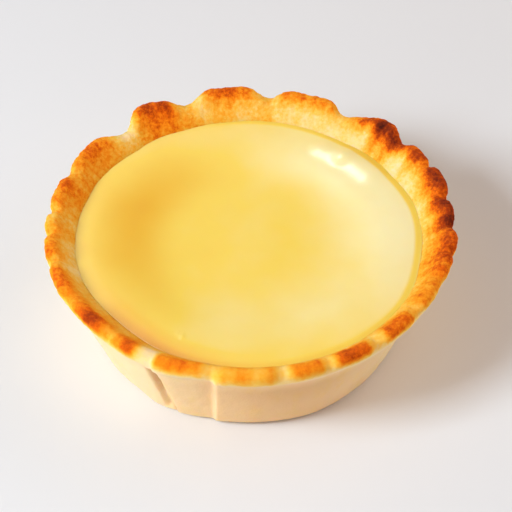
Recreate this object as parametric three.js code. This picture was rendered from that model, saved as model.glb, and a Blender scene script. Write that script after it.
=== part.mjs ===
// A custard tart: a hand-crimped shortcrust case, baked in a plain round tin, with set egg custard in it.
// Millimetres, +Z up. The origin is the centre of the flat base, on the surface that the tart stands on.
// Angles are degrees from +X towards +Y. The front of the tart faces -Y.

import * as THREE from "three";

// ---------------------------------------------------------------- driving sizes

const BASE_RADIUS = 30.9; // where the wall would meet the base
const FOOT_ROUNDING = 1.8; // the soft edge left by the bottom of the tin
const SHOULDER_RADIUS = 37.2; // top of the plain wall
const SHOULDER_HEIGHT = 18.6;
const LIP_RADIUS = 38.6; // furthest out, between two crimps
const LIP_HEIGHT = 21.0;
const RIM_RADIUS = 37.0; // top of the rim between two crimps
const RIM_HEIGHT = 22.5;
const CUSTARD_RADIUS = 34.0; // where custard meets pastry
const CUSTARD_HEIGHT = 20.2;
const FLOOR_RADIUS = 26.5; // inside the case, under the custard
const FLOOR_HEIGHT = 4.2;
const FLOOR_ROUNDING = 3.0;

const CRIMP_LEAN = 0.7; // how far a crimp leans out for each millimetre that it rises
const CRIMP_REACH_DOWN = 2; // how far below the shoulder the crimps still push the wall out
const NARROW_CRIMP = 17; // degrees: crimps up to this width are round knobs between sharp pinches
const CRAG_DEPTH = 0.16; // soft lumps along the baked rim
const CUSTARD_SWELL = 0.15; // soft ring where the custard puffed beside the pastry
const CUSTARD_DISH = 1.6; // how far the middle sank while it cooled
const CUSTARD_EDGE = 0.7; // rounding of the custard where it drew back from the pastry
const FIT_GAP = 0.3; // clearance between custard and case

const CASE_SEGMENTS = 180;
const CUSTARD_SEGMENTS = 90;

// The crimps in their order round the rim, the first of them at 0. Each starts at a pinch, where the dough
// stands some millimetres above the plain rim, and rises to a top that is level from one angle to another.
// They are large at the back, and lower at the sides and in front.
const CRIMPS = [
  { from: 0, pinch: 0.9, top: [4, 8], rise: 2.3 },
  { from: 11, pinch: 1.3, top: [15, 21], rise: 2.8 },
  { from: 25, pinch: 1.6, top: [28, 32], rise: 2.7 },
  { from: 37, pinch: 1.2, top: [43, 46], rise: 2.9 },
  { from: 60.5, pinch: 0.6, top: [66, 69], rise: 2.5 },
  { from: 72, pinch: 2.3, top: [75, 78], rise: 2.5 },
  { from: 84, pinch: 1.2, top: [92, 103], rise: 2.6 },
  { from: 110, pinch: 0.6, top: [118, 125], rise: 2.6 },
  { from: 131.5, pinch: 0.1, top: [143, 152], rise: 1.8 },
  { from: 158, pinch: 1, top: [163, 169], rise: 2.1 },
  { from: 174, pinch: 0.9, top: [177, 180], rise: 2 },
  { from: 182.5, pinch: 0.7, top: [186, 190], rise: 1.9 },
  { from: 194, pinch: 0.5, top: [198, 204], rise: 1.8 },
  { from: 209, pinch: 0.9, top: [214, 223], rise: 1.6 },
  { from: 228, pinch: 0.6, top: [230.5, 233.5], rise: 1.3 },
  { from: 241, pinch: 0.8, top: [244, 255], rise: 0.9 },
  { from: 259.5, pinch: 0.1, top: [263, 275], rise: 0.9 },
  { from: 279.5, pinch: 0.1, top: [283.5, 288], rise: 0.9 },
  { from: 292.5, pinch: 0.2, top: [297, 303], rise: 1.1 },
  { from: 308, pinch: 0.1, top: [313, 320], rise: 1.3 },
  { from: 325.5, pinch: 0.5, top: [329, 335], rise: 1.4 },
  { from: 338.5, pinch: 0.8, top: [342, 345], rise: 2 },
  { from: 349, pinch: 1.3, top: [352, 355], rise: 2.4 },
];

// Places where the hand-pressed case is out of round: how many degrees each way they fade over, and how far
// the wall, the edge of the custard and the rim are out there.
const OUT_OF_ROUND = [
  { middle: 18, fade: 10, wall: 0, custard: 0, rim: 0.4 },
  { middle: 40, fade: 60, wall: 0, custard: -0.8, rim: 0 },
  { middle: 45, fade: 7, wall: 0, custard: 0, rim: 0.5 },
  { middle: 60, fade: 16, wall: 0, custard: 0, rim: -0.3 },
  { middle: 90, fade: 60, wall: 0, custard: 0.4, rim: 0.4 },
  { middle: 124, fade: 9, wall: 0, custard: 0, rim: 1 },
  { middle: 146, fade: 14, wall: 0, custard: 0, rim: 0.6 },
  { middle: 150, fade: 45, wall: 0.2, custard: 0.2, rim: 0.2 },
  { middle: 198, fade: 36, wall: 0.3, custard: 0, rim: 0.6 },
  { middle: 225, fade: 30, wall: 0, custard: -0.9, rim: 0 },
  { middle: 236, fade: 16, wall: 0.6, custard: 0, rim: 0.5 },
  { middle: 338, fade: 55, wall: -1.1, custard: -0.2, rim: -0.2 },
  { middle: 350, fade: 24, wall: 0, custard: -0.4, rim: 0.5 },
];

// Laps, where the dough folded over itself in the tin. Each climbs the outside of the wall from its foot
// angle to its top angle. Past it, towards +X, the dough stands proud by its step, and before it the dough
// dips to the depth of its cleft.
const LAPS = [
  { foot: 244.4, top: 242.6, step: 0.6, cleft: 1.2 },
  { foot: 257.3, top: 259.6, step: 0.5, cleft: 0.5 },
];
const LAP_HALF_WIDTH = 1.5; // degrees over which the step turns, and half the width of the cleft
const LAP_FADE = 11; // degrees over which the proud side settles back

// ---------------------------------------------------------------- angles

const FULL_TURN = 360;
const { clamp, degToRad, euclideanModulo, lerp, radToDeg, smoothstep } = THREE.MathUtils;

// Degrees from one angle to another the short way round, from -180 to 180.
function turn(from, to) {
  return euclideanModulo(to - from + FULL_TURN / 2, FULL_TURN) - FULL_TURN / 2;
}

// A value that wanders between -1 and 1 round the tart, from a few whole numbers of waves.
function wander(angle, waves, phase) {
  const sum = waves.reduce((total, wave, i) => total + Math.sin(wave * degToRad(angle) + phase * (i + 1)), 0);
  return sum / waves.length;
}

// ---------------------------------------------------------------- what shapes the dough

// Turns a soft climb into one that starts steeply and rounds off at its top.
function rounded(share) {
  return Math.sin((share * Math.PI) / 2) ** 0.7;
}

// How high the top of the rim stands at an angle, above the plain rim.
function crestAt(angle) {
  const crimp = CRIMPS.findLast(({ from }) => from <= angle);
  const next = CRIMPS[(CRIMPS.indexOf(crimp) + 1) % CRIMPS.length];
  const along = (to) => euclideanModulo(to - crimp.from, FULL_TURN);
  const [topStart, topEnd] = crimp.top.map(along);
  const width = along(next.from);
  let climb = smoothstep(along(angle), 0, topStart);
  let fall = smoothstep(along(angle), topEnd, width);
  if (width <= NARROW_CRIMP) {
    climb = rounded(climb);
    fall = 1 - rounded(1 - fall);
  }
  return lerp(lerp(crimp.pinch, crimp.rise, climb), next.pinch, fall);
}

// How far the laps push the outside of the wall out at an angle and height.
function lapsAt(angle, height) {
  const clearOfFoot = smoothstep(height, 0, SHOULDER_HEIGHT / 3);
  const clearOfRim = 1 - smoothstep(height, SHOULDER_HEIGHT, LIP_HEIGHT);
  return LAPS.reduce((total, { foot, top, step, cleft }) => {
    const past = turn(lerp(foot, top, clamp(height / SHOULDER_HEIGHT, 0, 1)), angle);
    const proud = smoothstep(past, -LAP_HALF_WIDTH, LAP_HALF_WIDTH) * (1 - smoothstep(past, 0, LAP_FADE));
    const dip = Math.exp(-((past / LAP_HALF_WIDTH + 1) ** 2));
    return total + clearOfFoot * clearOfRim * (step * proud - cleft * dip);
  }, 0);
}

// How far the case is from round at an angle and height.
function outOfRoundAt(angle, height, outside) {
  const nearRim = smoothstep(height, outside ? SHOULDER_HEIGHT / 2 : CUSTARD_HEIGHT, LIP_HEIGHT);
  const nearCustardLine = smoothstep(height, 0, CUSTARD_HEIGHT);
  return OUT_OF_ROUND.reduce((total, { middle, fade, wall, custard, rim }) => {
    const here = 1 - smoothstep(Math.abs(turn(middle, angle)), 0, fade);
    return total + here * lerp(outside ? wall : custard * nearCustardLine, rim, nearRim);
  }, 0);
}

// Where the hand has the point of the case that the plain turned shape has at an angle.
function shapeCase(angle, { x: radius, y: height, outside }) {
  const top = smoothstep(height, outside ? SHOULDER_HEIGHT - CRIMP_REACH_DOWN : CUSTARD_HEIGHT, RIM_HEIGHT);
  const rise = top * crestAt(angle);
  const crag = CRAG_DEPTH * top * wander(angle, [23, 31, 41], radius);
  const laps = outside ? lapsAt(angle, height) : 0;
  return {
    radius: radius + outOfRoundAt(angle, height, outside) + rise * CRIMP_LEAN + laps + crag,
    height: height + rise + crag,
  };
}

function shapeCustard(angle, { x: radius, y: height }) {
  return { radius: radius + (radius / CUSTARD_RADIUS) * outOfRoundAt(angle, height, false), height };
}

// ---------------------------------------------------------------- outlines

const at = (radius, height) => new THREE.Vector2(radius, height);
const line = (from, to) => new THREE.LineCurve(from, to);
const bend = (from, corner, to) => new THREE.QuadraticBezierCurve(from, corner, to);

// Joins sections, each a curve cut into a number of steps, into the points of one outline.
function outline(sections) {
  return sections.flatMap(({ curve, steps, outside = false }, i) => {
    const points = curve.getPoints(steps).slice(i ? 1 : 0);
    return points.map((point) => Object.assign(point, { outside }));
  });
}

// Half the section of the case: under the base, up the wall, over the rim, and down inside to the axis.
function caseOutline() {
  const wallAt = (height) => at(lerp(BASE_RADIUS, SHOULDER_RADIUS, height / SHOULDER_HEIGHT), height);
  const footStart = at(BASE_RADIUS - FOOT_ROUNDING, 0);
  const footEnd = wallAt(FOOT_ROUNDING);
  const shoulder = wallAt(SHOULDER_HEIGHT);
  const lip = at(LIP_RADIUS, LIP_HEIGHT);
  const rim = at(RIM_RADIUS, RIM_HEIGHT);
  const custardLine = at(CUSTARD_RADIUS, CUSTARD_HEIGHT);
  const cornerTop = at(FLOOR_RADIUS + 1, FLOOR_HEIGHT + FLOOR_ROUNDING);
  const cornerEnd = at(FLOOR_RADIUS - FLOOR_ROUNDING, FLOOR_HEIGHT);
  return outline([
    { curve: line(at(0, 0), footStart), steps: 1, outside: true },
    { curve: bend(footStart, at(BASE_RADIUS, 0), footEnd), steps: 3, outside: true },
    { curve: line(footEnd, shoulder), steps: 6, outside: true },
    { curve: bend(shoulder, at(LIP_RADIUS, SHOULDER_HEIGHT + 0.8), lip), steps: 2, outside: true },
    { curve: bend(lip, at(LIP_RADIUS, RIM_HEIGHT), rim), steps: 3, outside: true },
    { curve: bend(rim, at(RIM_RADIUS - 1.3, RIM_HEIGHT), custardLine), steps: 4 },
    { curve: line(custardLine, cornerTop), steps: 2 },
    { curve: bend(cornerTop, at(FLOOR_RADIUS, FLOOR_HEIGHT), cornerEnd), steps: 2 },
    { curve: line(cornerEnd, at(0, FLOOR_HEIGHT)), steps: 1 },
  ]);
}

// Half the section of the custard: over the floor of the case, up inside the wall, and over the dished top.
function custardOutline() {
  const cornerStart = at(FLOOR_RADIUS - FLOOR_ROUNDING, FLOOR_HEIGHT + FIT_GAP);
  const cornerEnd = at(FLOOR_RADIUS + 1 - FIT_GAP, FLOOR_HEIGHT + FLOOR_ROUNDING + FIT_GAP);
  const edge = at(CUSTARD_RADIUS - 2 * FIT_GAP, CUSTARD_HEIGHT - CUSTARD_EDGE);
  const swell = at(CUSTARD_RADIUS * 0.91, CUSTARD_HEIGHT + CUSTARD_SWELL);
  const dish = at(0, CUSTARD_HEIGHT + CUSTARD_SWELL - CUSTARD_DISH);
  return outline([
    { curve: line(at(0, cornerStart.y), cornerStart), steps: 1 },
    { curve: bend(cornerStart, at(FLOOR_RADIUS - FIT_GAP, FLOOR_HEIGHT + FIT_GAP), cornerEnd), steps: 2 },
    { curve: line(cornerEnd, edge), steps: 2 },
    { curve: bend(edge, at(edge.x, swell.y), swell), steps: 4 },
    {
      curve: new THREE.CubicBezierCurve(
        swell, at(CUSTARD_RADIUS * 0.78, swell.y), at(CUSTARD_RADIUS * 0.5, dish.y), dish),
      steps: 6,
    },
  ]);
}

// ---------------------------------------------------------------- solids

// Turns an outline round the upright axis, then moves each point to where the shaping function has it.
function turnedSolid(points, segments, shape) {
  const solid = new THREE.LatheGeometry(points, segments).rotateX(Math.PI / 2);
  const places = solid.getAttribute("position");
  for (let i = 0; i < places.count; i++) {
    const point = points[i % points.length];
    if (point.x === 0) continue;
    const around = Math.atan2(places.getY(i), places.getX(i));
    const moved = shape(euclideanModulo(radToDeg(around), FULL_TURN), point);
    places.setXYZ(i, moved.radius * Math.cos(around), moved.radius * Math.sin(around), moved.height);
  }
  solid.computeVertexNormals();
  return solid;
}

function part(name, geometry, color, roughness) {
  const mesh = new THREE.Mesh(geometry, new THREE.MeshStandardMaterial({ color, roughness, metalness: 0 }));
  mesh.name = name;
  return mesh;
}

const tart = new THREE.Group();
tart.add(
  part("pastry_case", turnedSolid(caseOutline(), CASE_SEGMENTS, shapeCase), 0xe3a254, 0.75),
  part("custard_filling", turnedSolid(custardOutline(), CUSTARD_SEGMENTS, shapeCustard), 0xfbd872, 0.3),
);

export default tart;
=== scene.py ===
"""A custard tart: a hand-crimped shortcrust case, browned along its rim, filled with smooth set custard.

Metres, +Z up, in the frame of the CAD part. Angles are degrees from +X towards +Y, and the front faces -Y.
"""

import math
from collections import namedtuple

import bmesh
import bpy
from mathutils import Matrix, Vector


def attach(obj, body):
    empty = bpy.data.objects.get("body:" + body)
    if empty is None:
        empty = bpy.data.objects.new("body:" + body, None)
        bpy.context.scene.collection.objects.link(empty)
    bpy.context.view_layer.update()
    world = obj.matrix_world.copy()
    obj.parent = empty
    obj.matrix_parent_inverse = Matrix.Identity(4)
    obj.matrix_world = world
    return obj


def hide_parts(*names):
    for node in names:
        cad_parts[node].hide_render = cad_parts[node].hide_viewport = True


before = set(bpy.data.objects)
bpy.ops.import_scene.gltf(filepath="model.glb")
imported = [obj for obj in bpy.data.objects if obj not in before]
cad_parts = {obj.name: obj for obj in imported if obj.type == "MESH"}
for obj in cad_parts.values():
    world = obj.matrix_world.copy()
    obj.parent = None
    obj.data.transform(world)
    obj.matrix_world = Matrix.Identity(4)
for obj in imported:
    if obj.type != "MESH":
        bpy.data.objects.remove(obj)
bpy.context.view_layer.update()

MM = 0.001

# ---------------------------------------------------------------- sizes of the tart, in millimetres

BASE_RADIUS = 30.9  # where the wall would meet the base
FOOT_ROUNDING = 1.8
SHOULDER_RADIUS, SHOULDER_HEIGHT = 37.2, 18.6  # top of the plain wall
LIP_RADIUS, LIP_HEIGHT = 38.6, 21.0  # furthest out, between two crimps
RIM_RADIUS, RIM_HEIGHT = 37.0, 22.5  # top of the rim between two crimps
CUSTARD_RADIUS, CUSTARD_HEIGHT = 34.0, 20.2  # where custard meets pastry
FLOOR_RADIUS, FLOOR_HEIGHT, FLOOR_ROUNDING = 26.5, 4.2, 3.0  # inside the case, under the custard

CRIMP_LEAN = 0.7  # how far a crimp leans out for each millimetre that it rises
CRIMP_REACH_DOWN = 2.0  # how far below the shoulder the crimps still push the wall out
COLUMN_WIDTH = 1.5  # degrees between two upright lines of points
NARROW_CRIMP = 17  # degrees: crimps up to this width are round knobs between sharp pinches
KNOB_ROUNDING = 0.7  # the lower, the steeper the sides of such a knob and the flatter its top
LIP_UNDERSIDE = 0.8  # how far above the shoulder the underside of the lip turns down into the wall
RIM_ROUNDING = 1.3  # how far in from the top of the rim its inner face turns down
FLOOR_FLARE = 1.0  # how much wider the inside is at the top of the floor's rounding
HALF_WALL = 1.5  # half the thickness of the wall

FIT_GAP = 0.3  # between the hidden sides of custard and case
CUSTARD_FLOOR = (FLOOR_RADIUS - FLOOR_ROUNDING, FLOOR_HEIGHT + FIT_GAP)  # where its rounding starts
CUSTARD_COLUMNS = 120
CUSTARD_SWELL = 0.05  # soft ring where the custard puffed beside the pastry
CUSTARD_DISH = 1.5  # how far the middle sank while it cooled
HIDDEN_SIDE = 1.6  # how far below the custard line the hidden side ends
HIDDEN_EDGE = 0.9  # how far the edge runs out into the pastry, so that no gap shows
HIDDEN_EDGE_LIFT = 0.05  # how far above the custard line it lies
HIDDEN_BORDER = 0.5  # how far out into the pastry the top comes down to the custard line

# Where the top of the custard lies, as shares of its radius: the swell, the middle of the slope and the start
# of the dish, each after the corner that leads round to it.
SWELL_CORNER, SWELL = 0.97, 0.91
SLOPE_CORNER, SLOPE = 0.82, 0.65
DISH_CORNER, DISH = 0.48, 0.25

# The crimps in their order round the rim: the angle of the pinch that each starts at, how high the dough
# stands there above the plain rim, the angles between which its top is level, and how high that is. Then how
# brown it baked, from 0 for pale to 1 for burnt: in the pinch, along its crest, and on its inner face. On the
# inner faces that brown is partly painted light and shade: paler where they turn to the key light on the
# right, deeper where they lie in its shade on the left.
Crimp = namedtuple("Crimp", "start pinch top_start top_end rise pinch_bake crust_bake face_bake")
CRIMPS = [
    Crimp(0, 0.9, 4, 8, 2.3, 0.78, 0.84, 0.17),
    Crimp(11, 1.3, 15, 21, 2.8, 0.72, 0.80, 0.14),
    Crimp(25, 1.6, 28, 32, 2.7, 0.54, 0.66, 0.15),
    Crimp(37, 1.2, 43, 46, 2.9, 0.60, 0.68, 0.14),
    Crimp(60.5, 0.6, 66, 69, 2.4, 0.32, 0.48, 0.14),
    Crimp(72, 2.2, 74, 76, 2.3, 0.40, 0.52, 0.16),
    Crimp(83.5, 0.6, 92, 103, 2.6, 0.28, 0.56, 0.28),
    Crimp(110, 0.6, 118, 125, 2.6, 0.34, 0.60, 0.42),
    Crimp(131.5, 0.1, 143, 152, 1.8, 0.18, 0.47, 0.40),
    Crimp(158, 1.0, 163, 169, 2.1, 0.42, 0.53, 0.42),
    Crimp(174, 0.9, 177, 180, 2.0, 0.38, 0.40, 0.36),
    Crimp(182.5, 0.7, 186, 190, 1.9, 0.34, 0.50, 0.24),
    Crimp(194, 0.5, 198, 204, 1.8, 0.32, 0.50, 0.26),
    Crimp(209, 0.9, 214, 223, 1.6, 0.42, 0.58, 0.34),
    Crimp(228, 0.6, 230.5, 233.5, 1.3, 0.44, 0.56, 0.34),
    Crimp(241, 0.8, 244, 255, 0.9, 0.10, 0.50, 0.38),
    Crimp(259.5, 0.1, 263, 275, 0.9, 0.32, 0.40, 0.32),
    Crimp(279.5, 0.1, 283.5, 288, 0.9, 0.20, 0.52, 0.24),
    Crimp(292.5, 0.2, 297, 303, 1.1, 0.22, 0.66, 0.22),
    Crimp(308, 0.1, 313, 320, 1.3, 0.22, 0.60, 0.34),
    Crimp(325.5, 0.5, 329, 335, 1.4, 0.40, 0.50, 0.29),
    Crimp(338.5, 0.8, 342, 345, 2.0, 0.48, 0.56, 0.28),
    Crimp(349, 1.3, 352, 355, 2.4, 0.58, 0.70, 0.18),
]

# Places where the hand-pressed case is out of round: the middle of each, how many degrees each way it fades
# over, and how far the wall, the edge of the custard and the rim are out there.
Bulge = namedtuple("Bulge", "middle fade wall custard rim")
BULGES = [
    Bulge(18, 10, 0.0, 0.0, 0.4),
    Bulge(40, 60, 0.0, -0.8, 0.0),
    Bulge(45, 7, 0.0, 0.0, 0.5),
    Bulge(60, 16, 0.0, 0.0, -0.3),
    Bulge(90, 60, 0.0, 0.4, 0.4),
    Bulge(124, 9, 0.0, 0.0, 1.0),
    Bulge(146, 14, 0.0, 0.0, 0.6),
    Bulge(150, 45, 0.2, 0.2, 0.2),
    Bulge(198, 36, 0.3, 0.0, 0.6),
    Bulge(222, 36, 0.0, -1.1, 0.0),
    Bulge(236, 16, 0.6, 0.0, 0.5),
    Bulge(338, 55, -1.1, -0.2, -0.2),
    Bulge(352, 26, 0.0, -0.8, 0.5),
]

# Laps, where the dough folded over itself in the tin: each climbs the wall from its foot angle to its top
# angle. Towards +X of it the dough stands proud by its step and settles back over a distance. Before it the
# dough dips to a depth, in a cleft some degrees wide, and comes up again over a distance. Its edge leans over
# the cleft by so much, and is smoothed so many times. Last come how dark a dull brown is painted beside the
# line, from 0 to 1, and over how many degrees that fades: painted shade in the cleft and beside the line,
# which in the first lap is partly the browned edge of the dough as well.
Lap = namedtuple("Lap", "foot top step settle depth cleft rise_over edge smooth toast toast_fade")
LAPS = [
    Lap(244.4, 242.6, 0.5, 9.0, 1.9, 3.0, 1.0, 0.1, 1, 1.0, 4.2),
    Lap(257.3, 259.6, 0.3, 5.0, 0.7, 0.5, 8.0, 0.0, 8, 0.35, 8.0),
]
LAP_LOW, LAP_HIGH = 3.0, 19.0  # where each lap stands at its full step
LAP_REACH = 40  # degrees each side of a lap that may follow it
LAP_STRIP = 0.5  # degrees from the lap's line that are pushed in full
UPPER_CLEFT = 0.8  # share of the cleft's width that is pushed in again from halfway up the wall
LEAN_REACH = 0.8  # how far from the line the dough follows the edge that leans over
SMOOTH_MARGIN = 1.5  # degrees past the cleft that are smoothed with it

# The crumb of the baked dough: the size of its lumps, the depth from their tops to the hollows, and where.
CRUMBS = [(6.0, 0.5, "wall"), (2.2, 0.5, "crust"), (0.9, 0.35, "crust")]
SMOOTH_CRUST = (262, 95)  # middle and fade of the stretch of crust that is smoothest
LEAST_CRUMB = 0.35  # share of the crumb that is left in the middle of that stretch

# Places where the crust is browner or, below 0, paler: where on the crust each lies, by its angle and its
# distance from the crest (minus inside), how far it spreads, and how much browner it is.
Scorch = namedtuple("Scorch", "angle from_crest spread bake")
SCORCHES = [
    Scorch(45, -1.9, 3.4, 0.46),
    Scorch(39, -0.6, 2.4, 0.14),
    Scorch(51, -0.4, 3.2, 0.22),
    Scorch(2, 1.2, 3.4, 0.10),
    Scorch(220, 1.0, 4.0, 0.17),
    Scorch(252, -0.2, 3.0, 0.10),
    Scorch(106, -1.2, 4.0, -0.24),
    Scorch(90, -2.4, 3.0, 0.08),
    Scorch(96, -1.0, 3.4, 0.10),
    Scorch(121, -2.2, 4.0, 0.12),
    Scorch(129.5, -2.4, 2.0, -0.04),
    Scorch(146, -1.4, 4.6, 0.06),
    Scorch(196, -2.8, 4.0, -0.12),
    Scorch(19, -2.8, 3.4, 0.14),
    Scorch(40, -2.5, 2.6, 0.32),
    Scorch(30, -2.0, 2.6, 0.12),
    Scorch(106, -4.6, 2.6, 0.14),
    Scorch(135, -2.2, 3.6, -0.07),
    Scorch(165, -2.2, 3.4, 0.12),
    Scorch(240, -2.0, 4.0, -0.16),
    Scorch(300, -2.4, 2.4, -0.12),
]

# How far from the crest the brown of the crust starts to fade, where it ends, and where it ends at the middle
# of the stretch on which it reached furthest. That stretch is given by its middle and its fade.
Browning = namedtuple("Browning", "start end furthest stretch")
OUTSIDE_BROWNING = Browning(1.4, 3.8, 6.2, (270, 26))
INSIDE_BROWNING = Browning(0.4, 2.8, 5.0, (347, 50))

# Painted shade: a dull brown painted round the front of the wall, on the side that turns away from the key
# light: how strong it is, on which stretch, and between which heights it ends. Its strength changes by these
# shares from the foot of the wall to its top.
WALL_PAINTED_SHADE = 0.42
SHADED_STRETCH_OF_WALL = (282, 50)
WALL_SHADE_END = (LAP_HIGH - 4, LAP_HIGH + 2)
WALL_SHADE_AT_FOOT, WALL_SHADE_AT_TOP = 0.7, 1.2
LAP_SHADE_AT_FOOT = 0.6  # share of a lap's own painted shade, and of its fade, that is left at the foot
LAP_SHADE_FULL = 0.2  # share of a lap's fade, from its line, on which its painted shade is at its full
LAP_SHADE_PAST = 0.6  # degrees past a lap's line over which its painted shade ends

# ---------------------------------------------------------------- angles and curves

FULL_TURN = 360


def turn(start, end):
    """Degrees from one angle to another the short way round, from -180 to 180."""
    return (end - start + FULL_TURN / 2) % FULL_TURN - FULL_TURN / 2


def smoothstep(value, low, high):
    """0 up to the low value and 1 from the high one on, with a soft climb between them."""
    share = min(max((value - low) / (high - low), 0), 1)
    return share * share * (3 - 2 * share)


def rounded(share):
    """Turns a soft climb into one that starts steeply and rounds off at its top."""
    return math.sin(share * math.pi / 2) ** KNOB_ROUNDING


def lerp(start, end, share):
    return start + (end - start) * share


def near(angle, middle, fade):
    """1 at the middle of a stretch of the rim, falling softly to 0 so many degrees each way."""
    return 1 - smoothstep(abs(turn(middle, angle)), 0, fade)


def angle_of(place):
    """The angle of a place round the tart, from 0 to 360."""
    return math.degrees(math.atan2(place.y, place.x)) % FULL_TURN


def outward(angle, radius=1.0, height=0.0):
    """The place at an angle, a radius and a height."""
    return Vector((radius * math.cos(math.radians(angle)), radius * math.sin(math.radians(angle)), height))


def line(start, end, steps):
    """Places along a straight stretch of a section, without its start."""
    return [Vector(start).lerp(Vector(end), step / steps) for step in range(1, steps + 1)]


def bend(start, corner, end, steps):
    """Places along a rounded corner of a section, without its start."""
    into, out = line(start, corner, steps), line(corner, end, steps)
    return [a.lerp(b, step / steps) for step, (a, b) in enumerate(zip(into, out), 1)]


# ---------------------------------------------------------------- the crimps


def crimp_at(angle):
    """The crimp at an angle, the next one, and how far the angle is up its climb and down its fall."""
    crimp = [each for each in CRIMPS if each.start <= angle][-1]
    following = CRIMPS[(CRIMPS.index(crimp) + 1) % len(CRIMPS)]
    width = (following.start - crimp.start) % FULL_TURN
    climb = smoothstep(angle - crimp.start, 0, crimp.top_start - crimp.start)
    fall = smoothstep(angle - crimp.start, crimp.top_end - crimp.start, width)
    if width <= NARROW_CRIMP:
        climb, fall = rounded(climb), 1 - rounded(1 - fall)
    return crimp, following, climb, fall


def crest_at(angle):
    """How high the top of the rim stands at an angle, in millimetres above the plain rim."""
    crimp, following, climb, fall = crimp_at(angle)
    return lerp(lerp(crimp.pinch, crimp.rise, climb), following.pinch, fall)


def crimp_columns():
    """The angles of the upright lines of points: one in each pinch, the rest evenly between."""
    for crimp, following in zip(CRIMPS, CRIMPS[1:] + CRIMPS[:1]):
        width = (following.start - crimp.start) % FULL_TURN
        count = 2 * round(width / COLUMN_WIDTH / 2)
        yield from (crimp.start + width * step / count for step in range(count))


# ---------------------------------------------------------------- modelling by hand


def start_from(piece_name):
    """Name the primitive that was just added, put its place in its mesh, and start to edit its points."""
    piece = bpy.context.object
    piece.name = piece.data.name = piece_name
    bpy.ops.object.transform_apply(location=True)
    bpy.ops.object.mode_set(mode="EDIT")
    bpy.ops.mesh.select_mode(type="VERT")
    return piece


def pick(piece, wanted):
    """Select the points that a test picks out, and nothing else."""
    bpy.ops.mesh.select_all(action="DESELECT")
    mesh = bmesh.from_edit_mesh(piece.data)
    for point in mesh.verts:
        point.select = not point.hide and wanted(point)
    mesh.select_flush(True)
    bmesh.update_edit_mesh(piece.data)


def picked(piece):
    """The indices of the selected points."""
    return {point.index for point in bmesh.from_edit_mesh(piece.data).verts if point.select}


def apply_modifier(piece, kind, **settings):
    """Add a modifier with its settings, and apply it."""
    bpy.ops.object.modifier_add(type=kind)
    modifier = piece.modifiers[-1]
    for setting, value in settings.items():
        setattr(modifier, setting, value)
    bpy.ops.object.modifier_apply(modifier=modifier.name)


def grow_ring(piece, start, end, keep=1.0, mean_rise=0.0):
    """Extrude the selected ring from one place of the section to another, with only a share of its waves."""
    bpy.ops.mesh.extrude_region_move()
    level = (0, 0, start[1] * MM)
    bpy.ops.transform.tosphere(value=1 - keep, center_override=level)
    mesh = bmesh.from_edit_mesh(piece.data)
    ring = [point.co.xy.length for point in mesh.verts if point.select]
    stretch = (end[0] + mean_rise * CRIMP_LEAN) * MM / (sum(ring) / len(ring))
    bpy.ops.transform.resize(value=(stretch, stretch, keep), center_override=level)
    bpy.ops.transform.translate(value=(0, 0, (end[1] - start[1]) * MM))
    return picked(piece)


def close_soft(piece, ring):
    """Fill a ring with a grid of small squares, which takes a soft form."""
    pick(piece, lambda point: point.index in ring)
    bpy.ops.mesh.fill_grid(span=len(ring) // 4)


def close_flat():
    """Close each open ring of the piece in hand with one flat face."""
    bpy.ops.object.mode_set(mode="EDIT")
    bpy.ops.mesh.select_all(action="SELECT")
    bpy.ops.mesh.fill_holes(sides=0)
    bpy.ops.mesh.normals_make_consistent(inside=False)
    bpy.ops.object.mode_set(mode="OBJECT")


def nudge_ring(piece, ring, middle, fade, offset):
    """Push one place of a ring in or out, with its neighbours on the ring following."""
    pick(piece, lambda point: point.index in ring)
    bpy.ops.mesh.hide(unselected=True)
    points = [point for point in bmesh.from_edit_mesh(piece.data).verts if point.select]
    nearest = min(points, key=lambda point: abs(turn(middle, angle_of(point.co)))).index
    reach = 2 * points[0].co.xy.length * math.sin(math.radians(fade / 2))
    pick(piece, lambda point: point.index == nearest)
    bpy.ops.transform.translate(
        value=outward(middle, offset * MM),
        use_proportional_edit=True,
        proportional_edit_falloff="SMOOTH",
        proportional_size=reach,
    )
    bpy.ops.mesh.reveal(select=False)


# ---------------------------------------------------------------- the pastry case


# A ring of points round a piece: its height on the plain section, its share of the crimps' waves, and its
# distance in millimetres from the crest of the case, with a minus sign inside, or in from the custard line.
Ring = namedtuple("Ring", "points height waves distance")


def waves_left(height, outside):
    """The share of the crimps' waves that the case still has at a height of its plain section."""
    return smoothstep(height, SHOULDER_HEIGHT - CRIMP_REACH_DOWN if outside else CUSTARD_HEIGHT, RIM_HEIGHT)


def outside_section():
    """The places of the section from the crest of the rim down to the base."""
    rim, lip = (RIM_RADIUS, RIM_HEIGHT), (LIP_RADIUS, LIP_HEIGHT)
    shoulder = (SHOULDER_RADIUS, SHOULDER_HEIGHT)
    foot = (lerp(BASE_RADIUS, SHOULDER_RADIUS, FOOT_ROUNDING / SHOULDER_HEIGHT), FOOT_ROUNDING)
    base = (BASE_RADIUS - FOOT_ROUNDING, 0)
    return [
        *bend(rim, (LIP_RADIUS, RIM_HEIGHT), lip, 3),
        *bend(lip, (LIP_RADIUS, SHOULDER_HEIGHT + LIP_UNDERSIDE), shoulder, 3),
        *line(shoulder, foot, 6),
        *bend(foot, (BASE_RADIUS, 0), base, 3),
        Vector((BASE_RADIUS - 2 * FOOT_ROUNDING, 0)),
    ]


def inside_section():
    """The places of the section from the crest of the rim down to the floor of the case."""
    rim, custard_line = (RIM_RADIUS, RIM_HEIGHT), (CUSTARD_RADIUS, CUSTARD_HEIGHT)
    corner_top = Vector((FLOOR_RADIUS + FLOOR_FLARE, FLOOR_HEIGHT + FLOOR_ROUNDING))
    corner_end = Vector((FLOOR_RADIUS - FLOOR_ROUNDING, FLOOR_HEIGHT))
    return [
        *bend(rim, (RIM_RADIUS - RIM_ROUNDING, RIM_HEIGHT), custard_line, 5),
        corner_top,
        corner_end,
    ]


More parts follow.
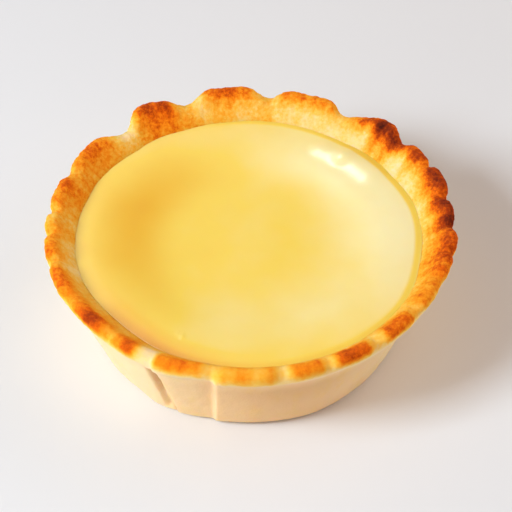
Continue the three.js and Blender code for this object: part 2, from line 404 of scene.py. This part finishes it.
def grow_side(piece, crest, section, outside, mean_rise):
    """Grow one side of the case from its crest, ring by ring."""
    pick(piece, lambda point: point.index in crest)
    place, waves, from_crest = Vector((RIM_RADIUS, RIM_HEIGHT)), 1.0, 0.0
    rings = []
    for next_place in section:
        next_waves = waves_left(next_place.y, outside)
        keep = next_waves / waves if waves else 1.0
        points = grow_ring(piece, place, next_place, keep, mean_rise * next_waves)
        from_crest += (next_place - place).length
        rings.append(Ring(points, next_place.y, next_waves, from_crest if outside else -from_crest))
        place, waves = next_place, next_waves
    return rings


def press_out_of_round(piece, rings, outside):
    """Press the rings in or out at each bulge: by the wall or the custard's edge below, by the rim above."""
    for ring in rings:
        upper = smoothstep(ring.height, SHOULDER_HEIGHT / 2 if outside else CUSTARD_HEIGHT, LIP_HEIGHT)
        lower = smoothstep(ring.height, 0, CUSTARD_HEIGHT)
        for bulge in BULGES:
            offset = lerp(bulge.wall if outside else bulge.custard * lower, bulge.rim, upper)
            if offset:
                nudge_ring(piece, ring.points, bulge.middle, bulge.fade, offset)


def model_case():
    """Model the case from its crest: down both sides, out of round, subdivided, folded and roughened."""
    angles = list(crimp_columns())
    bpy.ops.mesh.primitive_circle_add(
        vertices=len(angles), radius=RIM_RADIUS * MM, fill_type="NOTHING", location=(0, 0, RIM_HEIGHT * MM)
    )
    case = start_from("crimped_case")

    # the crest: each point of the ring goes to its column, up to the height of its crimp and out with it
    crest = picked(case)
    points = [(point.index, point.co.copy()) for point in bmesh.from_edit_mesh(case.data).verts]
    points.sort(key=lambda point: angle_of(point[1]))
    for angle, (index, place) in zip(angles, points):
        pick(case, lambda point: point.index == index)
        rise = crest_at(angle)
        target = outward(angle, (RIM_RADIUS + rise * CRIMP_LEAN) * MM, (RIM_HEIGHT + rise) * MM)
        bpy.ops.transform.translate(value=target - place)
    mean_rise = sum(map(crest_at, angles)) / len(angles)

    outside_rings = grow_side(case, crest, outside_section(), True, mean_rise)
    inside_rings = grow_side(case, crest, inside_section(), False, mean_rise)
    outside_rings.insert(0, Ring(crest, RIM_HEIGHT, 1.0, 0.0))
    press_out_of_round(case, outside_rings, True)
    press_out_of_round(case, inside_rings, False)

    bpy.ops.object.mode_set(mode="OBJECT")
    mark_rings(case, outside_rings + inside_rings)
    apply_modifier(case, "SUBSURF", levels=2, render_levels=2)
    close_flat()
    for lap in LAPS:
        fold_lap(case, lap)
    paint_bake(case)
    for grain, depth, group in CRUMBS:
        roughen(case, group, grain, depth)
    bpy.ops.object.shade_smooth()
    return case


def past_lap(lap, place):
    """How many degrees a place lies past the slanting line of a lap."""
    return turn(lerp(lap.foot, lap.top, place.z / SHOULDER_HEIGHT / MM), angle_of(place))


def fold_lap(case, lap):
    """Fold the dough of the wall over itself: one side of a slanting line stands proud, the other dips."""
    def past(point):
        return past_lap(lap, point.co)

    def on_wall(point):
        inner_face = lerp(FLOOR_RADIUS + FLOOR_FLARE, CUSTARD_RADIUS, point.co.z / CUSTARD_HEIGHT / MM)
        return point.co.xy.length > (inner_face + HALF_WALL) * MM and abs(past(point)) < LAP_REACH

    def push(side, strip, distance, settle, direction, low=LAP_LOW):
        """Push the strip beside the line, on one side of it, with that side alone following."""
        pick(case, lambda point: on_wall(point) and past(point) * side >= 0)
        bpy.ops.mesh.hide(unselected=True)
        pick(case, lambda point: past(point) * side < strip and low * MM < point.co.z < LAP_HIGH * MM)
        bpy.ops.transform.translate(
            value=direction * distance * MM,
            use_proportional_edit=True,
            proportional_edit_falloff="SMOOTH",
            proportional_size=settle * MM,
        )
        bpy.ops.mesh.reveal(select=False)

    outwards, along = outward(lap.top), outward(lap.top - 90)
    bpy.ops.object.mode_set(mode="EDIT")
    push(1, LAP_STRIP, lap.step, lap.settle, outwards)
    push(-1, lap.cleft, -lap.depth / 2, lap.rise_over, outwards)
    push(-1, lap.cleft * UPPER_CLEFT, -lap.depth / 2, lap.rise_over, outwards, SHOULDER_HEIGHT / 2)
    if lap.edge:
        push(1, LAP_STRIP, lap.edge, LEAN_REACH, along)
    smoothed = lap.cleft + SMOOTH_MARGIN
    pick(case, lambda point: on_wall(point) and abs(past(point)) < smoothed and point.co.z > MM)
    bpy.ops.mesh.vertices_smooth(factor=0.5, repeat=lap.smooth)
    bpy.ops.object.mode_set(mode="OBJECT")


def crumbly_at(angle):
    """The share of the crumb that the crust has at an angle."""
    return lerp(1, LEAST_CRUMB, near(angle, *SMOOTH_CRUST))


def mark_rings(case, rings):
    """Weigh the rings for the crumb of crust and wall, and note how far from the crest each lies."""
    crust, wall = (case.vertex_groups.new(name=name) for name in ("crust", "wall"))
    for ring in rings:
        wall.add(list(ring.points), 1 - ring.waves if ring.height else 0, "REPLACE")
        for index in ring.points:
            crumbly = crumbly_at(angle_of(case.data.vertices[index].co))
            crust.add([index], ring.waves * crumbly, "REPLACE")
    lengths = {index: ring.distance for ring in rings for index in ring.points}
    from_crest = case.data.attributes.new("from_crest", "FLOAT", "POINT")
    for index, length in lengths.items():
        from_crest.data[index].value = length


def roughen(piece, group, grain, depth):
    """Push the surface in and out by a cloudy pattern with lumps of a size, where a group has weight."""
    lumps = bpy.data.textures.new(f"{group}_{grain}", "CLOUDS")
    lumps.noise_scale = grain * MM
    lumps.noise_depth = 2
    apply_modifier(piece, "DISPLACE", texture=lumps, texture_coords="LOCAL", vertex_group=group,
                   mid_level=0.5, strength=depth * MM)


# ---------------------------------------------------------------- the custard


def custard_section():
    """The places of the custard's section from its floor up to its edge, and over the dished top."""
    corner = (FLOOR_RADIUS + FLOOR_FLARE - FIT_GAP, FLOOR_HEIGHT + FLOOR_ROUNDING + FIT_GAP)
    side = (CUSTARD_RADIUS - 2 * FIT_GAP, CUSTARD_HEIGHT - HIDDEN_SIDE)
    edge = (CUSTARD_RADIUS + HIDDEN_EDGE, CUSTARD_HEIGHT + HIDDEN_EDGE_LIFT)
    border = (CUSTARD_RADIUS + HIDDEN_BORDER, CUSTARD_HEIGHT)
    swell = (CUSTARD_RADIUS * SWELL, CUSTARD_HEIGHT + CUSTARD_SWELL)
    dish = (CUSTARD_RADIUS * DISH, CUSTARD_HEIGHT + CUSTARD_SWELL - CUSTARD_DISH)
    slope = (CUSTARD_RADIUS * SLOPE, (swell[1] + dish[1]) / 2)
    return [
        *bend(CUSTARD_FLOOR, (FLOOR_RADIUS - FIT_GAP, FLOOR_HEIGHT + FIT_GAP), corner, 2),
        *line(corner, side, 2),
        Vector(edge),
        Vector(border),
        *bend(border, (CUSTARD_RADIUS * SWELL_CORNER, swell[1]), swell, 3),
        *bend(swell, (CUSTARD_RADIUS * SLOPE_CORNER, swell[1]), slope, 3),
        *bend(slope, (CUSTARD_RADIUS * DISH_CORNER, dish[1]), dish, 4),
    ]


def model_custard():
    """Model the custard from its floor: up the hidden side, over the top, subdivided and puffed up."""
    radius, height = CUSTARD_FLOOR
    bpy.ops.mesh.primitive_circle_add(
        vertices=CUSTARD_COLUMNS, radius=radius * MM, fill_type="NOTHING", location=(0, 0, height * MM)
    )
    custard = start_from("set_custard_filling")
    place = CUSTARD_FLOOR
    rings = []
    for next_place in custard_section():
        points = grow_ring(custard, place, next_place)
        rings.append(Ring(points, next_place[1], 0.0, CUSTARD_RADIUS - next_place[0]))
        place = next_place
    close_soft(custard, rings[-1].points)
    # the custard follows the case from its side to the top of the slope; its floor and its dish stay round
    press_out_of_round(custard, rings[2:-5], False)
    bpy.ops.object.mode_set(mode="OBJECT")
    mark_edge(custard, rings)
    apply_modifier(custard, "SUBSURF", levels=2, render_levels=2)
    close_flat()
    for puff in PUFFS:
        puff_up(custard, puff)
    paint_custard(custard)
    bpy.ops.object.shade_smooth()
    return custard


# Places where the skin of the custard puffed up: the stretch of angles, the radius, how wide it is there, how
# high it stands, and how far the skin round it follows. First the fold beside the crust, then two bubbles.
Puff = namedtuple("Puff", "start end radius width height reach")
PUFFS = [
    Puff(37, 50, 30.8, 0.5, 0.46, 4.0),
    Puff(52, 61, 30.0, 0.4, 0.38, 3.4),
    Puff(243.4, 244.4, 29.0, 0.4, 0.14, 0.6),
    Puff(241.4, 242.2, 28.7, 0.3, 0.1, 0.5),
]


def puff_up(custard, puff):
    """Raise a stretch of the skin, with the skin round it following."""
    def on_puff(point):
        near_radius = abs(point.co.xy.length - puff.radius * MM) < puff.width * MM
        return near_radius and puff.start <= angle_of(point.co) <= puff.end and point.normal.z > 0.5

    bpy.ops.object.mode_set(mode="EDIT")
    pick(custard, on_puff)
    bpy.ops.transform.translate(
        value=(0, 0, puff.height * MM),
        use_proportional_edit=True,
        proportional_edit_falloff="SMOOTH",
        proportional_size=puff.reach * MM,
    )
    bpy.ops.object.mode_set(mode="OBJECT")


def mark_edge(custard, rings):
    """Note how far in from the custard line each ring lies. What lies further in counts as the last ring."""
    from_edge = custard.data.attributes.new("from_edge", "FLOAT", "POINT")
    from_edge.data.foreach_set("value", [rings[-1].distance] * len(custard.data.vertices))
    for ring in rings:
        for index in ring.points:
            from_edge.data[index].value = max(ring.distance, 0)


PLAIN_DEPTH = 0.36  # how deep the custard's yellow is away from the patches

# Patches of yellow: the angle of each and how many degrees each way it fades over, how far in from the
# custard line it lies and how far each way it spreads, and by how much it is deeper or, below 0, paler.
# The paler patches, at the right, the back and the front, are painted sheen where the glossy skin turns to
# the window. The deeper ring at the left is mostly painted shade, and the deeper strips along the edge are
# partly painted shade where the custard meets the pastry.
ToneSheenShadePatch = namedtuple("ToneSheenShadePatch", "angle fade from_edge spread depth")
TONE_SHEEN_AND_SHADE_PATCHES = [
    ToneSheenShadePatch(158, 100, 10.5, 10.5, 0.40),
    ToneSheenShadePatch(190, 75, 2, 8, 0.05),
    ToneSheenShadePatch(8, 95, 3, 22, -0.31),
    ToneSheenShadePatch(90, 75, 8, 14, -0.18),
    ToneSheenShadePatch(272, 75, 12, 14, -0.14),
    ToneSheenShadePatch(24, 100, 0.3, 0.9, 0.42),
    ToneSheenShadePatch(235, 48, 0, 5.0, 0.48),
    ToneSheenShadePatch(282, 75, 0, 1.8, 0.24),
]


def yellow_sheen_and_shade(angle, from_edge):
    """How deep the custard's yellow is at a place, from 0 for pale to 1 for golden, with painted sheen and
    shade in it.
    """
    return PLAIN_DEPTH + sum(
        patch.depth * near(angle, patch.angle, patch.fade)
        * (1 - smoothstep(abs(from_edge - patch.from_edge), 0, patch.spread))
        for patch in TONE_SHEEN_AND_SHADE_PATCHES
    )


def paint_custard(custard):
    """Give each point how deep its yellow is, with the painted sheen and painted shade of the patches."""
    from_edge = [item.value for item in custard.data.attributes["from_edge"].data]
    angles = [angle_of(vertex.co) for vertex in custard.data.vertices]
    depth = custard.data.attributes.new("yellow_sheen_and_shade", "FLOAT", "POINT")
    depth.data.foreach_set("value", list(map(yellow_sheen_and_shade, angles, from_edge)))


# ---------------------------------------------------------------- materials


def srgb(code):
    """A colour written as an sRGB hex value, in linear numbers."""
    parts = [int(code[i:i + 2], 16) / 255 for i in (1, 3, 5)]
    return (*[part / 12.92 if part <= 0.04045 else ((part + 0.055) / 1.055) ** 2.4 for part in parts], 1)


def node(tree, kind, inputs=(), **settings):
    """Add a node with its settings, and link or set its inputs."""
    made = tree.nodes.new(kind)
    for setting, value in settings.items():
        setattr(made, setting, value)
    for name, value in dict(inputs).items():
        socket = made.inputs[name]
        if isinstance(value, bpy.types.NodeSocket):
            tree.links.new(value, socket)
        else:
            socket.default_value = value
    return made


def new_material(name):
    """A material with an empty node tree, and that tree."""
    material = bpy.data.materials.new(name)
    material.use_nodes = True
    material.node_tree.nodes.clear()
    return material, material.node_tree


def baked_shortcrust():
    """Shortcrust pastry, pressed by hand and baked: matt and finely crumbed, pale below and browned above,
    with painted shade on the front of its wall and in its laps.
    """
    material, tree = new_material("baked_shortcrust")
    place = node(tree, "ShaderNodeTexCoord").outputs["Object"]
    unrolled = node(tree, "ShaderNodeAttribute", attribute_name="unrolled").outputs["Vector"]
    bake = node(tree, "ShaderNodeAttribute", attribute_name="bake").outputs["Fac"]
    crumbly = node(tree, "ShaderNodeAttribute", attribute_name="crumbly").outputs["Fac"]

    # the oven's own unevenness: patches some millimetres wide, upright streaks where the butter ran, and
    # crumbs that stand up and brown first
    patches = node(tree, "ShaderNodeTexNoise", {"Vector": place, "Scale": 1 / (5 * MM), "Detail": 3.0})
    upright = node(tree, "ShaderNodeMapping", {"Vector": unrolled, "Scale": (1.0, 1.0, 0.22)})
    streaks = node(tree, "ShaderNodeTexNoise", {"Vector": upright.outputs["Vector"], "Scale": 1 / 3.2,
                                                "Detail": 2.0})
    crumbs = node(tree, "ShaderNodeTexNoise", {"Vector": place, "Scale": 1 / (0.8 * MM), "Detail": 4.0,
                                               "Roughness": 0.65})
    speckle = node(tree, "ShaderNodeMath", {0: crumbly, 1: 0.11}, operation="MULTIPLY").outputs["Value"]
    uneven = None
    for noise, amount in ((patches, 0.06), (streaks, 0.08), (crumbs, speckle)):
        spread = node(tree, "ShaderNodeMapRange", {"Value": noise.outputs["Fac"], "From Min": 0.32,
                                                   "From Max": 0.68, "To Min": -1.0, "To Max": 1.0})
        inputs = {0: spread.outputs["Result"], 1: amount, 2: uneven if uneven else 0.0}
        uneven = node(tree, "ShaderNodeMath", inputs, operation="MULTIPLY_ADD").outputs["Value"]
    share = node(tree, "ShaderNodeMapRange", {"Value": bake, "From Max": 0.35, "To Min": 0.45})
    level = node(tree, "ShaderNodeMath", {0: uneven, 1: share.outputs["Result"], 2: bake},
                 operation="MULTIPLY_ADD")
    ramp = node(tree, "ShaderNodeValToRGB", {"Fac": level.outputs["Value"]})
    ramp.color_ramp.elements[0].color = srgb("#fcdaa8")
    ramp.color_ramp.elements[1].color = srgb("#4a1a10")
    for position, colour in ((0.12, "#fdd88e"), (0.24, "#fdc75a"), (0.36, "#fdb238"), (0.48, "#f8941a"),
                             (0.60, "#e3680e"), (0.72, "#b4440c"), (0.86, "#7c2a10")):
        ramp.color_ramp.elements.new(position).color = srgb(colour)

    # painted shade: a dull brown mixed in round the front of the wall and beside the laps, in the first lap
    # partly the browned edge of the dough
    brown_and_painted_shade = node(tree, "ShaderNodeAttribute", attribute_name="brown_and_painted_shade").outputs["Fac"]
    toast = node(tree, "ShaderNodeValToRGB", {"Fac": brown_and_painted_shade})
    toast.color_ramp.elements[0].color = srgb("#f2a24e")
    toast.color_ramp.elements[1].color = srgb("#8c5f3c")
    colour = node(tree, "ShaderNodeMixRGB", {"Fac": brown_and_painted_shade, "Color1": ramp.outputs["Color"],
                                             "Color2": toast.outputs["Color"]}).outputs["Color"]

    grain = node(tree, "ShaderNodeTexNoise", {"Vector": place, "Scale": 1 / (0.35 * MM), "Detail": 3.0})
    coarse = node(tree, "ShaderNodeBump", {"Height": crumbs.outputs["Fac"], "Strength": 0.3,
                                           "Distance": 0.35 * MM}).outputs["Normal"]
    fine = node(tree, "ShaderNodeBump", {"Height": grain.outputs["Fac"], "Strength": 0.25,
                                         "Distance": 0.15 * MM, "Normal": coarse}).outputs["Normal"]
    shader = node(tree, "ShaderNodeBsdfPrincipled", {
        "Base Color": colour, "Roughness": 0.75, "Specular IOR Level": 0.05, "Normal": fine,
        "Subsurface Weight": 0.5, "Subsurface Radius": (1.0, 0.5, 0.18), "Subsurface Scale": 2.2 * MM})
    node(tree, "ShaderNodeOutputMaterial", {"Surface": shader.outputs["BSDF"]})
    return material


def set_custard():
    """Egg custard, set in the oven: smooth and softly glossy, with light that sinks a little way in."""
    material, tree = new_material("set_custard")
    place = node(tree, "ShaderNodeTexCoord").outputs["Object"]
    # how deep the yellow is: the custard's own tone, with painted sheen in its paler patches and painted
    # shade in its deeper ones
    depth = node(tree, "ShaderNodeAttribute", attribute_name="yellow_sheen_and_shade").outputs["Fac"]
    clouds = node(tree, "ShaderNodeTexNoise", {"Vector": place, "Scale": 1 / (12 * MM), "Detail": 2.0})
    cloudy = node(tree, "ShaderNodeMapRange", {"Value": clouds.outputs["Fac"], "From Min": 0.3,
                                               "From Max": 0.7, "To Min": -0.04,
                                               "To Max": 0.04}).outputs["Result"]
    level = node(tree, "ShaderNodeMath", {0: depth, 1: cloudy}, operation="ADD").outputs["Value"]
    tone = node(tree, "ShaderNodeValToRGB", {"Fac": level})
    tone.color_ramp.elements[0].color = srgb("#fdf1ba")
    tone.color_ramp.elements[1].color = srgb("#e3961c")
    for position, colour in ((0.36, "#f9d758"), (0.72, "#f1bd38")):
        tone.color_ramp.elements.new(position).color = srgb(colour)
    ripples = node(tree, "ShaderNodeTexNoise", {"Vector": place, "Scale": 1 / (5 * MM), "Detail": 2.0})
    soft = node(tree, "ShaderNodeBump", {"Height": ripples.outputs["Fac"], "Strength": 0.12,
                                         "Distance": 0.3 * MM}).outputs["Normal"]
    shader = node(tree, "ShaderNodeBsdfPrincipled", {
        "Base Color": tone.outputs["Color"], "Roughness": 0.4, "Specular IOR Level": 0.09, "Normal": soft,
        "Coat Weight": 0.3, "Coat Roughness": 0.2, "Coat Normal": soft,
        "Subsurface Weight": 0.3, "Subsurface Radius": (1.0, 0.7, 0.25), "Subsurface Scale": 1.5 * MM})
    node(tree, "ShaderNodeOutputMaterial", {"Surface": shader.outputs["BSDF"]})
    return material


def bake_at(angle, from_crest):
    """How brown the pastry baked at an angle, so many millimetres outside the crest or, below 0, inside;
    partly painted light on the inner faces.
    """
    crimp, following, climb, fall = crimp_at(angle)
    climb, standing = climb ** 2, (1 - fall) ** 2  # the pinches stay pale for longer than they stay low
    crust = lerp(following.pinch_bake, lerp(crimp.pinch_bake, crimp.crust_bake, climb), standing)
    outside = from_crest > 0
    browning = OUTSIDE_BROWNING if outside else INSIDE_BROWNING
    below = 0 if outside else lerp(crimp.face_bake, following.face_bake, fall)
    end = lerp(browning.end, browning.furthest, near(angle, *browning.stretch))
    bake = lerp(crust, below, smoothstep(abs(from_crest), browning.start, end))
    return bake + sum(scorch.bake * scorched(scorch, angle, from_crest) for scorch in SCORCHES)


def scorched(scorch, angle, from_crest):
    """1 in the middle of a scorched place, falling softly to 0 at its edge."""
    along = math.radians(turn(scorch.angle, angle)) * RIM_RADIUS
    return 1 - smoothstep(math.hypot(along, from_crest - scorch.from_crest), 0, scorch.spread)


def brown_and_painted_shade_at(angle, place):
    """How much dull brown is painted below the crust, from 0 to 1: painted shade on the front of the wall and
    by the laps, most in the first cleft.
    """
    height = place.z / MM
    upper = smoothstep(height, LAP_LOW, LAP_HIGH)
    on_wall = 1 - smoothstep(height, *WALL_SHADE_END)
    on_lap = smoothstep(height, 0, LAP_LOW) * on_wall
    toast = WALL_PAINTED_SHADE * near(angle, *SHADED_STRETCH_OF_WALL) * on_wall * lerp(WALL_SHADE_AT_FOOT, WALL_SHADE_AT_TOP, upper)
    lap_share = lerp(LAP_SHADE_AT_FOOT, 1, upper)
    for lap in LAPS:
        past, reach = past_lap(lap, place), lap.toast_fade * lap_share
        if past > 0:
            faded = smoothstep(past, 0, LAP_SHADE_PAST)
        else:
            faded = smoothstep(-past, LAP_SHADE_FULL * reach, reach)
        toast = lerp(toast, lap.toast * lap_share, on_lap * (1 - faded))
    return toast


def paint_bake(case):
    """Give each point how brown and how crumbly it baked, how much painted shade it has, and its place round
    the rim and down from it.
    """
    from_crest = [item.value for item in case.data.attributes["from_crest"].data]
    angles = [angle_of(vertex.co) for vertex in case.data.vertices]
    bake = case.data.attributes.new("bake", "FLOAT", "POINT")
    bake.data.foreach_set("value", list(map(bake_at, angles, from_crest)))
    crumbly = case.data.attributes.new("crumbly", "FLOAT", "POINT")
    crumbly.data.foreach_set("value", list(map(crumbly_at, angles)))
    brown_and_painted_shade = case.data.attributes.new("brown_and_painted_shade", "FLOAT", "POINT")
    places = [vertex.co for vertex in case.data.vertices]
    brown_and_painted_shade.data.foreach_set("value", list(map(brown_and_painted_shade_at, angles, places)))
    unrolled = case.data.attributes.new("unrolled", "FLOAT_VECTOR", "POINT")
    round_rim = [outward(angle, RIM_RADIUS, length) for angle, length in zip(angles, from_crest)]
    unrolled.data.foreach_set("vector", [part for place in round_rim for part in place])


# ---------------------------------------------------------------- the tart

bpy.ops.object.select_all(action="DESELECT")
case = model_case()
case.data.materials.append(baked_shortcrust())
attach(case, "root")
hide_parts("pastry_case")

bpy.ops.object.select_all(action="DESELECT")
custard = model_custard()
custard.data.materials.append(set_custard())
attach(custard, "root")
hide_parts("custard_filling")

# ---------------------------------------------------------------- floor, light and camera


def add_floor():
    """A pale board for the tart to stand on."""
    bpy.ops.mesh.primitive_plane_add(size=4)
    floor = bpy.context.object
    floor.name = "pale_floor"
    material, tree = new_material("matt_white_board")
    shader = node(tree, "ShaderNodeBsdfPrincipled", {"Base Color": srgb("#e8e9ea"), "Roughness": 0.8,
                                                      "Specular IOR Level": 0.0})
    node(tree, "ShaderNodeOutputMaterial", {"Surface": shader.outputs["BSDF"]})
    floor.data.materials.append(material)


def add_softbox(name, azimuth, elevation, distance, size, power, colour, diffuse=True, glossy=True):
    """A light panel that faces the tart, at an angle round it, an elevation and a distance in metres."""
    flat = distance * math.cos(math.radians(elevation))
    place = outward(azimuth, flat, distance * math.sin(math.radians(elevation)))
    bpy.ops.object.light_add(type="AREA", location=place)
    light = bpy.context.object
    light.name = name
    light.rotation_euler = (-place).to_track_quat("-Z", "Y").to_euler()
    light.data.shape, light.data.size, light.data.size_y = "RECTANGLE", size[0], size[1]
    light.data.energy, light.data.color = power, srgb(colour)[:3]
    light.visible_diffuse, light.visible_glossy = diffuse, glossy


IMAGE_SIZE = 512  # pixels each way
FOCAL_PIXELS = 2009  # the focal length, in pixels
CAMERA_DISTANCE = 0.4  # metres from the place that it aims at
CAMERA_ELEVATION = 45.6  # degrees above the table
AIM = Vector((0, 0, 12 * MM))  # in the middle of the tart, halfway up
AIM_PIXEL = (250.2, 267.0)  # where that place lies in the render, from its top left corner


def add_camera():
    """A camera in front of the tart, shifted so that what it aims at lies at its pixel."""
    bpy.ops.object.camera_add()
    camera = bpy.context.object
    bpy.context.scene.camera = camera
    back = outward(-90, math.cos(math.radians(CAMERA_ELEVATION)), math.sin(math.radians(CAMERA_ELEVATION)))
    camera.location = AIM + back * CAMERA_DISTANCE
    camera.rotation_euler = (-back).to_track_quat("-Z", "Y").to_euler()
    camera.data.lens = camera.data.sensor_width * FOCAL_PIXELS / IMAGE_SIZE
    camera.data.shift_x = (IMAGE_SIZE / 2 - AIM_PIXEL[0]) / IMAGE_SIZE
    camera.data.shift_y = (AIM_PIXEL[1] - IMAGE_SIZE / 2) / IMAGE_SIZE
    camera.data.clip_start, camera.data.clip_end = 0.01, 10


def set_world():
    """A dim, warm room all round."""
    world = bpy.data.worlds.new("pale_room")
    bpy.context.scene.world = world
    world.use_nodes = True
    world.node_tree.nodes["Background"].inputs["Color"].default_value = srgb("#ffeade")
    world.node_tree.nodes["Background"].inputs["Strength"].default_value = 0.4


add_floor()
add_softbox("key_softbox", 206, 40, 0.8, (0.26, 0.26), 5.8, "#e6f4ff", glossy=False)
add_softbox("fill_softbox", 16, 34, 0.8, (0.8, 0.6), 1.6, "#fff0e2", glossy=False)
add_softbox("right_card", 20, 14, 0.8, (0.4, 0.2), 0.7, "#ffffff", glossy=False)
add_softbox("front_card", 222, 12, 0.8, (0.5, 0.25), 0.9, "#fff4ec", glossy=False)
add_softbox("back_left_window", 130, 45, 0.8, (0.6, 0.5), 3.2, "#ffffff", diffuse=False)
add_softbox("back_window", 111, 59, 0.9, (0.15, 0.12), 2.7, "#ffffff", diffuse=False)
add_camera()
set_world()
bpy.context.scene.view_settings.view_transform = "Standard"
